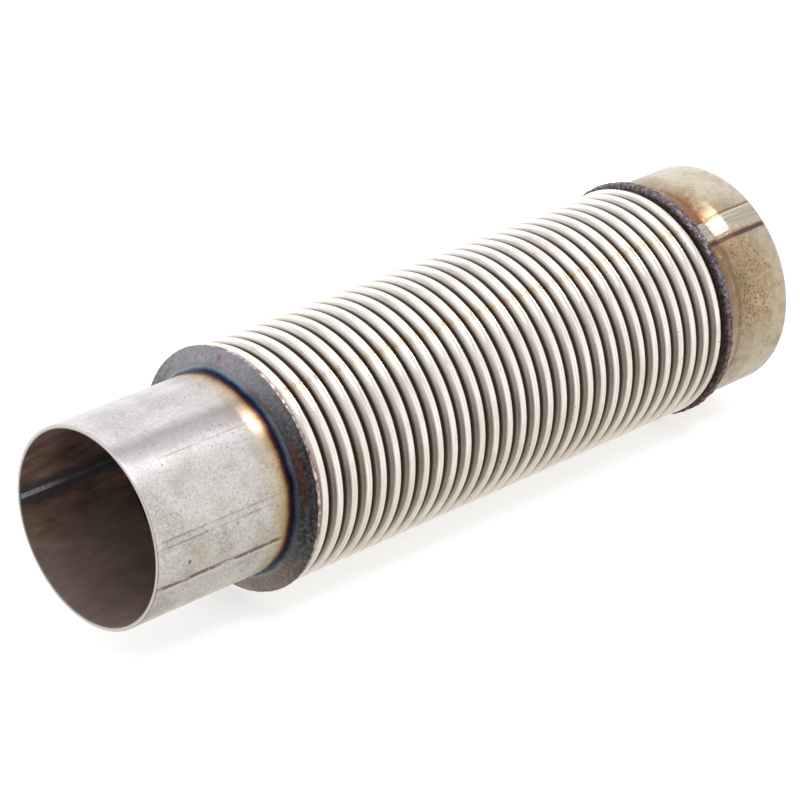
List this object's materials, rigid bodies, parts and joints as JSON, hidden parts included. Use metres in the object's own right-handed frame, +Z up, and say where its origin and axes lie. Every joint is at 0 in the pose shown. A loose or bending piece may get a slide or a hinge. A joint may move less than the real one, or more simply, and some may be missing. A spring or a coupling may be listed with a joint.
{
  "type": "bellows expansion joint",
  "caption": "Straight exhaust bellows expansion joint: a plain spigot with a turned-up flange, a deep annular bellows over a hooked liner, and a flared outlet socket with a heavy edge weld.",
  "frame": {"origin": "centre of the inlet mouth, on the pipe's axis", "axes": "+X along the pipe from the inlet to the outlet, +Z up with the pipe lying level, +Y across"},
  "size_m": [0.318, 0.0946, 0.0946],
  "materials": {
    "spigot_steel": "mill finish, stained, with heat tint beside the flange",
    "bellows_steel": "bright rolled strip, lightly straw tinted",
    "weld_metal": "rough oxidised weld",
    "collar_steel": "satin, golden brown heat tint with small rust spots",
    "liner_steel": "dull strip"
  },
  "bodies": {
    "inlet": {"inlet_spigot": "spigot_steel", "inlet_spigot_seam": "spigot_steel", "inlet_edge_weld": "weld_metal", "bellows_inlet_lip": "bellows_steel", "liner_inlet_sleeve": "liner_steel"},
    "convolution_01": {"convolution_01": "bellows_steel"},
    "convolution_02": {"convolution_02": "bellows_steel", "liner_ring_01": "liner_steel"},
    "convolution_03": {"convolution_03": "bellows_steel"},
    "convolution_04": {"convolution_04": "bellows_steel"},
    "convolution_05": {"convolution_05": "bellows_steel", "liner_ring_02": "liner_steel"},
    "convolution_06": {"convolution_06": "bellows_steel"},
    "convolution_07": {"convolution_07": "bellows_steel"},
    "convolution_08": {"convolution_08": "bellows_steel", "liner_ring_03": "liner_steel"},
    "convolution_09": {"convolution_09": "bellows_steel"},
    "convolution_10": {"convolution_10": "bellows_steel"},
    "convolution_11": {"convolution_11": "bellows_steel", "liner_ring_04": "liner_steel"},
    "convolution_12": {"convolution_12": "bellows_steel"},
    "convolution_13": {"convolution_13": "bellows_steel"},
    "convolution_14": {"convolution_14": "bellows_steel", "liner_ring_05": "liner_steel"},
    "convolution_15": {"convolution_15": "bellows_steel"},
    "convolution_16": {"convolution_16": "bellows_steel"},
    "convolution_17": {"convolution_17": "bellows_steel", "liner_ring_06": "liner_steel"},
    "convolution_18": {"convolution_18": "bellows_steel"},
    "convolution_19": {"convolution_19": "bellows_steel"},
    "convolution_20": {"convolution_20": "bellows_steel", "liner_ring_07": "liner_steel"},
    "convolution_21": {"convolution_21": "bellows_steel"},
    "convolution_22": {"convolution_22": "bellows_steel"},
    "convolution_23": {"convolution_23": "bellows_steel", "liner_ring_08": "liner_steel"},
    "convolution_24": {"convolution_24": "bellows_steel"},
    "convolution_25": {"convolution_25": "bellows_steel"},
    "convolution_26": {"convolution_26": "bellows_steel", "liner_ring_09": "liner_steel"},
    "convolution_27": {"convolution_27": "bellows_steel"},
    "convolution_28": {"convolution_28": "bellows_steel"},
    "convolution_29": {"convolution_29": "bellows_steel", "liner_ring_10": "liner_steel"},
    "convolution_30": {"convolution_30": "bellows_steel"},
    "outlet": {"outlet_collar": "collar_steel", "outlet_collar_seam": "collar_steel", "outlet_edge_weld": "weld_metal", "bellows_outlet_lip": "bellows_steel", "liner_outlet_sleeve": "liner_steel"}
  },
  "joints": [
    {"name": "axial_stretch", "type": "slide", "parent": "inlet", "child": "convolution_01", "axis": [1, 0, 0], "range_m": [-0.00073, 0.00036], "stiffness_N_per_m": 275000, "deforming": ["convolution_01"]},
    {"name": "inlet_half_pitch", "type": "hinge", "parent": "convolution_01", "child": "convolution_02", "pos_m": [0.0749, 0, 0], "axis": [0, -1, 0], "range_deg": [-1, 1], "stiffness_Nm_per_rad": 225.78, "deforming": ["convolution_02"]},
    {"name": "inlet_half_yaw", "type": "hinge", "parent": "convolution_02", "child": "convolution_03", "pos_m": [0.08201, 0, 0], "axis": [0, 0, 1], "range_deg": [-1, 1], "stiffness_Nm_per_rad": 225.78, "deforming": ["convolution_03"]},
    {"name": "axial_stretch_02", "type": "slide", "parent": "convolution_03", "child": "convolution_04", "axis": [1, 0, 0], "range_m": [-0.00073, 0.00036], "stiffness_N_per_m": 275000, "deforming": ["convolution_04"]},
    {"name": "inlet_half_pitch_02", "type": "hinge", "parent": "convolution_04", "child": "convolution_05", "pos_m": [0.09622, 0, 0], "axis": [0, -1, 0], "range_deg": [-1, 1], "stiffness_Nm_per_rad": 225.78, "deforming": ["convolution_05"]},
    {"name": "inlet_half_yaw_02", "type": "hinge", "parent": "convolution_05", "child": "convolution_06", "pos_m": [0.10333, 0, 0], "axis": [0, 0, 1], "range_deg": [-1, 1], "stiffness_Nm_per_rad": 225.78, "deforming": ["convolution_06"]},
    {"name": "axial_stretch_03", "type": "slide", "parent": "convolution_06", "child": "convolution_07", "axis": [1, 0, 0], "range_m": [-0.00073, 0.00036], "stiffness_N_per_m": 275000, "deforming": ["convolution_07"]},
    {"name": "inlet_half_pitch_03", "type": "hinge", "parent": "convolution_07", "child": "convolution_08", "pos_m": [0.11754, 0, 0], "axis": [0, -1, 0], "range_deg": [-1, 1], "stiffness_Nm_per_rad": 225.78, "deforming": ["convolution_08"]},
    {"name": "inlet_half_yaw_03", "type": "hinge", "parent": "convolution_08", "child": "convolution_09", "pos_m": [0.12464, 0, 0], "axis": [0, 0, 1], "range_deg": [-1, 1], "stiffness_Nm_per_rad": 225.78, "deforming": ["convolution_09"]},
    {"name": "axial_stretch_04", "type": "slide", "parent": "convolution_09", "child": "convolution_10", "axis": [1, 0, 0], "range_m": [-0.00073, 0.00036], "stiffness_N_per_m": 275000, "deforming": ["convolution_10"]},
    {"name": "inlet_half_pitch_04", "type": "hinge", "parent": "convolution_10", "child": "convolution_11", "pos_m": [0.13885, 0, 0], "axis": [0, -1, 0], "range_deg": [-1, 1], "stiffness_Nm_per_rad": 225.78, "deforming": ["convolution_11"]},
    {"name": "inlet_half_yaw_04", "type": "hinge", "parent": "convolution_11", "child": "convolution_12", "pos_m": [0.14596, 0, 0], "axis": [0, 0, 1], "range_deg": [-1, 1], "stiffness_Nm_per_rad": 225.78, "deforming": ["convolution_12"]},
    {"name": "axial_stretch_05", "type": "slide", "parent": "convolution_12", "child": "convolution_13", "axis": [1, 0, 0], "range_m": [-0.00073, 0.00036], "stiffness_N_per_m": 275000, "deforming": ["convolution_13"]},
    {"name": "inlet_half_pitch_05", "type": "hinge", "parent": "convolution_13", "child": "convolution_14", "pos_m": [0.16017, 0, 0], "axis": [0, -1, 0], "range_deg": [-1, 1], "stiffness_Nm_per_rad": 225.78, "deforming": ["convolution_14"]},
    {"name": "inlet_half_yaw_05", "type": "hinge", "parent": "convolution_14", "child": "convolution_15", "pos_m": [0.16727, 0, 0], "axis": [0, 0, 1], "range_deg": [-1, 1], "stiffness_Nm_per_rad": 225.78, "deforming": ["convolution_15"]},
    {"name": "axial_stretch_06", "type": "slide", "parent": "convolution_15", "child": "convolution_16", "axis": [1, 0, 0], "range_m": [-0.00073, 0.00036], "stiffness_N_per_m": 275000, "deforming": ["convolution_16"]},
    {"name": "outlet_half_pitch", "type": "hinge", "parent": "convolution_16", "child": "convolution_17", "pos_m": [0.18148, 0, 0], "axis": [0, -1, 0], "range_deg": [-1, 1], "stiffness_Nm_per_rad": 225.78, "deforming": ["convolution_17"]},
    {"name": "outlet_half_yaw", "type": "hinge", "parent": "convolution_17", "child": "convolution_18", "pos_m": [0.18859, 0, 0], "axis": [0, 0, 1], "range_deg": [-1, 1], "stiffness_Nm_per_rad": 225.78, "deforming": ["convolution_18"]},
    {"name": "axial_stretch_07", "type": "slide", "parent": "convolution_18", "child": "convolution_19", "axis": [1, 0, 0], "range_m": [-0.00073, 0.00036], "stiffness_N_per_m": 275000, "deforming": ["convolution_19"]},
    {"name": "outlet_half_pitch_02", "type": "hinge", "parent": "convolution_19", "child": "convolution_20", "pos_m": [0.2028, 0, 0], "axis": [0, -1, 0], "range_deg": [-1, 1], "stiffness_Nm_per_rad": 225.78, "deforming": ["convolution_20"]},
    {"name": "outlet_half_yaw_02", "type": "hinge", "parent": "convolution_20", "child": "convolution_21", "pos_m": [0.2099, 0, 0], "axis": [0, 0, 1], "range_deg": [-1, 1], "stiffness_Nm_per_rad": 225.78, "deforming": ["convolution_21"]},
    {"name": "axial_stretch_08", "type": "slide", "parent": "convolution_21", "child": "convolution_22", "axis": [1, 0, 0], "range_m": [-0.00073, 0.00036], "stiffness_N_per_m": 275000, "deforming": ["convolution_22"]},
    {"name": "outlet_half_pitch_03", "type": "hinge", "parent": "convolution_22", "child": "convolution_23", "pos_m": [0.22411, 0, 0], "axis": [0, -1, 0], "range_deg": [-1, 1], "stiffness_Nm_per_rad": 225.78, "deforming": ["convolution_23"]},
    {"name": "outlet_half_yaw_03", "type": "hinge", "parent": "convolution_23", "child": "convolution_24", "pos_m": [0.23122, 0, 0], "axis": [0, 0, 1], "range_deg": [-1, 1], "stiffness_Nm_per_rad": 225.78, "deforming": ["convolution_24"]},
    {"name": "axial_stretch_09", "type": "slide", "parent": "convolution_24", "child": "convolution_25", "axis": [1, 0, 0], "range_m": [-0.00073, 0.00036], "stiffness_N_per_m": 275000, "deforming": ["convolution_25"]},
    {"name": "outlet_half_pitch_04", "type": "hinge", "parent": "convolution_25", "child": "convolution_26", "pos_m": [0.24543, 0, 0], "axis": [0, -1, 0], "range_deg": [-1, 1], "stiffness_Nm_per_rad": 225.78, "deforming": ["convolution_26"]},
    {"name": "outlet_half_yaw_04", "type": "hinge", "parent": "convolution_26", "child": "convolution_27", "pos_m": [0.25253, 0, 0], "axis": [0, 0, 1], "range_deg": [-1, 1], "stiffness_Nm_per_rad": 225.78, "deforming": ["convolution_27"]},
    {"name": "axial_stretch_10", "type": "slide", "parent": "convolution_27", "child": "convolution_28", "axis": [1, 0, 0], "range_m": [-0.00073, 0.00036], "stiffness_N_per_m": 275000, "deforming": ["convolution_28"]},
    {"name": "outlet_half_pitch_05", "type": "hinge", "parent": "convolution_28", "child": "convolution_29", "pos_m": [0.26674, 0, 0], "axis": [0, -1, 0], "range_deg": [-1, 1], "stiffness_Nm_per_rad": 225.78, "deforming": ["convolution_29"]},
    {"name": "outlet_half_yaw_05", "type": "hinge", "parent": "convolution_29", "child": "convolution_30", "pos_m": [0.27385, 0, 0], "axis": [0, 0, 1], "range_deg": [-1, 1], "stiffness_Nm_per_rad": 225.78, "deforming": ["convolution_30"]},
    {"name": "axial_stretch_11", "type": "slide", "parent": "convolution_30", "child": "outlet", "axis": [1, 0, 0], "range_m": [-0.00073, 0.00036], "stiffness_N_per_m": 275000}
  ],
  "couplings": [
    {"joint": "axial_stretch_02", "follows": "axial_stretch", "ratio": 1},
    {"joint": "inlet_half_pitch_02", "follows": "inlet_half_pitch", "ratio": 1},
    {"joint": "inlet_half_yaw_02", "follows": "inlet_half_yaw", "ratio": 1},
    {"joint": "axial_stretch_03", "follows": "axial_stretch", "ratio": 1},
    {"joint": "inlet_half_pitch_03", "follows": "inlet_half_pitch", "ratio": 1},
    {"joint": "inlet_half_yaw_03", "follows": "inlet_half_yaw", "ratio": 1},
    {"joint": "axial_stretch_04", "follows": "axial_stretch", "ratio": 1},
    {"joint": "inlet_half_pitch_04", "follows": "inlet_half_pitch", "ratio": 1},
    {"joint": "inlet_half_yaw_04", "follows": "inlet_half_yaw", "ratio": 1},
    {"joint": "axial_stretch_05", "follows": "axial_stretch", "ratio": 1},
    {"joint": "inlet_half_pitch_05", "follows": "inlet_half_pitch", "ratio": 1},
    {"joint": "inlet_half_yaw_05", "follows": "inlet_half_yaw", "ratio": 1},
    {"joint": "axial_stretch_06", "follows": "axial_stretch", "ratio": 1},
    {"joint": "axial_stretch_07", "follows": "axial_stretch", "ratio": 1},
    {"joint": "outlet_half_pitch_02", "follows": "outlet_half_pitch", "ratio": 1},
    {"joint": "outlet_half_yaw_02", "follows": "outlet_half_yaw", "ratio": 1},
    {"joint": "axial_stretch_08", "follows": "axial_stretch", "ratio": 1},
    {"joint": "outlet_half_pitch_03", "follows": "outlet_half_pitch", "ratio": 1},
    {"joint": "outlet_half_yaw_03", "follows": "outlet_half_yaw", "ratio": 1},
    {"joint": "axial_stretch_09", "follows": "axial_stretch", "ratio": 1},
    {"joint": "outlet_half_pitch_04", "follows": "outlet_half_pitch", "ratio": 1},
    {"joint": "outlet_half_yaw_04", "follows": "outlet_half_yaw", "ratio": 1},
    {"joint": "axial_stretch_10", "follows": "axial_stretch", "ratio": 1},
    {"joint": "outlet_half_pitch_05", "follows": "outlet_half_pitch", "ratio": 1},
    {"joint": "outlet_half_yaw_05", "follows": "outlet_half_yaw", "ratio": 1},
    {"joint": "axial_stretch_11", "follows": "axial_stretch", "ratio": 1}
  ]
}
